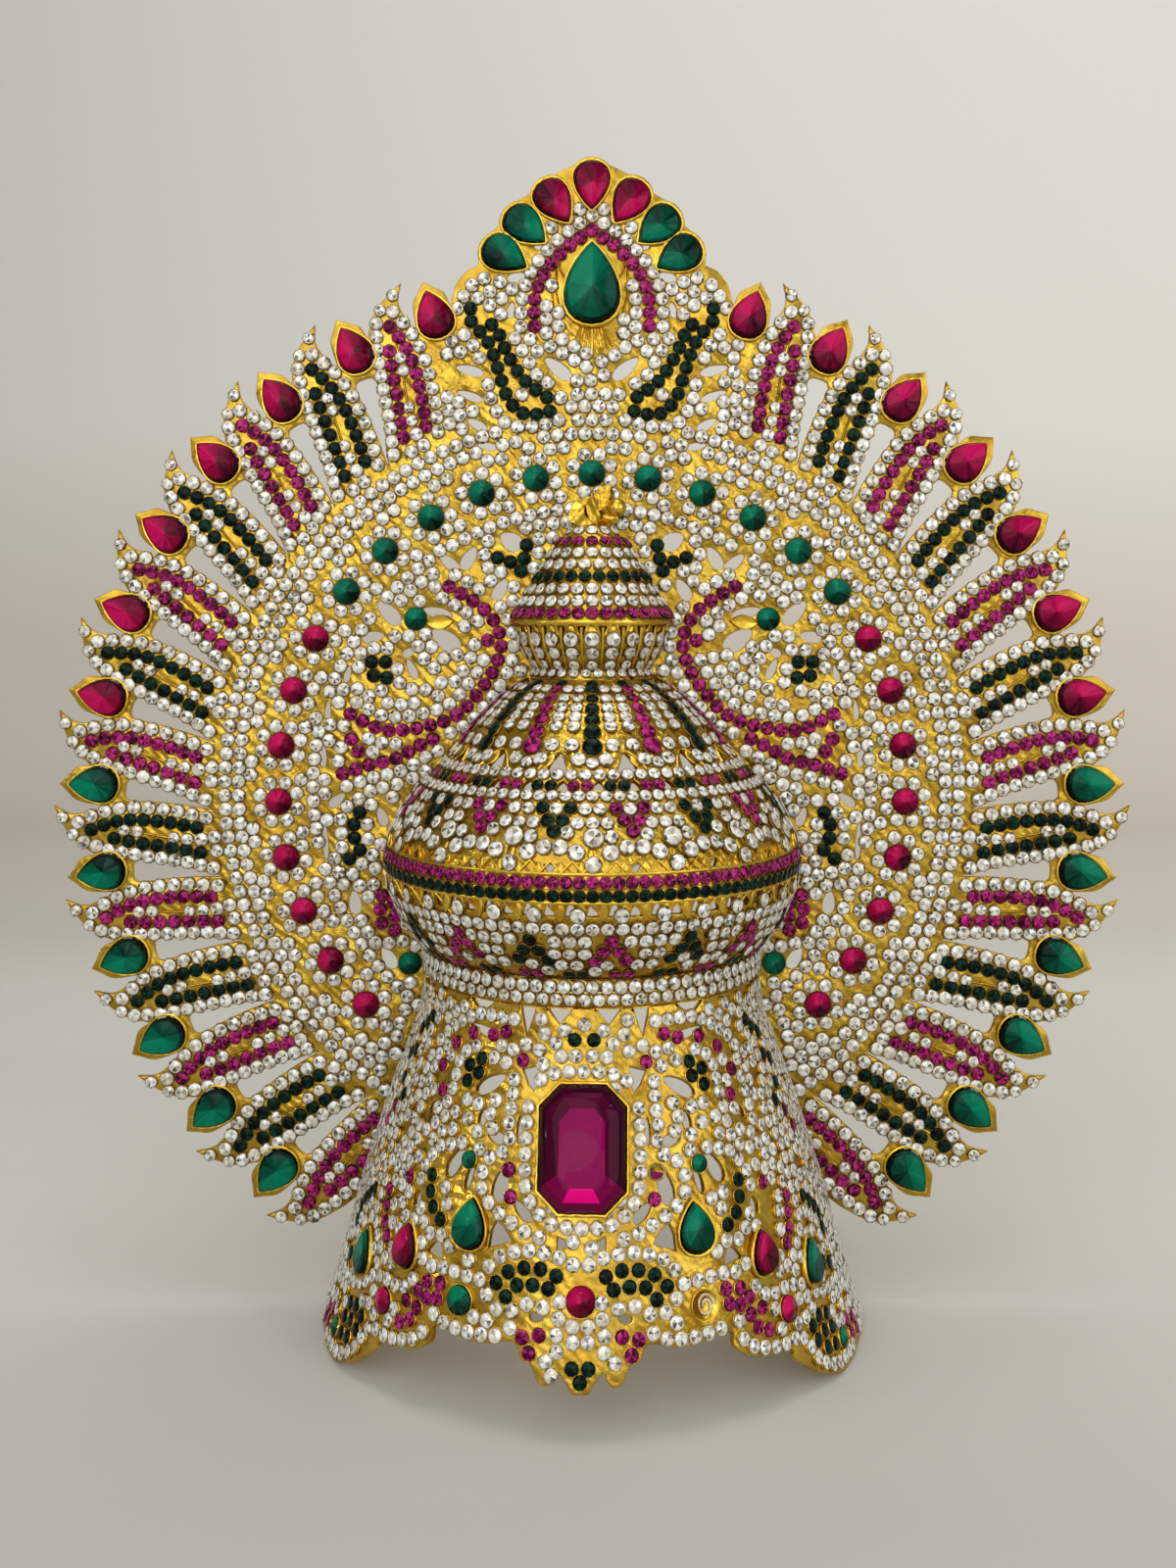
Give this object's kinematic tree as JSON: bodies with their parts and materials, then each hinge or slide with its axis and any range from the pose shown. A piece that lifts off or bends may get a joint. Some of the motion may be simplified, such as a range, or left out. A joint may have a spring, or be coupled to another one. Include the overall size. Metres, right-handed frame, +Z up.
{
  "type": "deity crown",
  "caption": "Half-round temple crown: pierced flame-edged halo plate with crest, tiered pot-shaped tower and open skirt for the head, gold metal set with glass stones.",
  "frame": {"origin": "middle of the whole object's box in X and Y, at its lowest point, the hem that it stands on", "axes": "+Z up along the crown's height, +X to the viewer's right, -Y out of the decorated front, +Y towards the plain back"},
  "size_m": [0.2602, 0.0685, 0.2784],
  "materials": {
    "gold_metal": "bright gold plating over cast and chased metal",
    "ruby_glass": "faceted, foil-backed",
    "emerald_glass": "faceted, foil-backed",
    "magenta_glass": "faceted, foil-backed"
  },
  "bodies": {
    "root": {"halo_plate": "gold_metal", "tower_finial": "gold_metal", "tower_dome": "gold_metal", "tower_neck": "gold_metal", "tower_cone": "gold_metal", "belly_upper": "gold_metal", "belly_lower": "gold_metal", "collar": "gold_metal", "head_skirt": "gold_metal", "rim_drop_left_1": "ruby_glass", "rim_drop_left_2": "ruby_glass", "rim_drop_left_3": "ruby_glass", "rim_drop_left_4": "ruby_glass", "rim_drop_left_5": "ruby_glass", "rim_drop_left_6": "ruby_glass", "rim_drop_left_7": "ruby_glass", "rim_drop_left_8": "emerald_glass", "rim_drop_left_9": "emerald_glass", "rim_drop_left_10": "emerald_glass", "rim_drop_left_11": "emerald_glass", "rim_drop_left_12": "emerald_glass", "rim_drop_left_13": "emerald_glass", "crest_drop_upper_left": "ruby_glass", "crest_drop_middle_left": "emerald_glass", "crest_drop_lower_left": "emerald_glass", "skirt_drop_green_left": "emerald_glass", "skirt_drop_red_left": "ruby_glass", "rim_drop_right_1": "ruby_glass", "rim_drop_right_2": "ruby_glass", "rim_drop_right_3": "ruby_glass", "rim_drop_right_4": "ruby_glass", "rim_drop_right_5": "ruby_glass", "rim_drop_right_6": "ruby_glass", "rim_drop_right_7": "ruby_glass", "rim_drop_right_8": "emerald_glass", "rim_drop_right_9": "emerald_glass", "rim_drop_right_10": "emerald_glass", "rim_drop_right_11": "emerald_glass", "rim_drop_right_12": "emerald_glass", "rim_drop_right_13": "emerald_glass", "crest_drop_upper_right": "ruby_glass", "crest_drop_middle_right": "emerald_glass", "crest_drop_lower_right": "emerald_glass", "skirt_drop_green_right": "emerald_glass", "skirt_drop_red_right": "ruby_glass", "crest_drop_top": "ruby_glass", "crest_big_drop": "emerald_glass", "octagon_stone": "magenta_glass", "hem_round": "ruby_glass"}
  },
  "joints": []
}
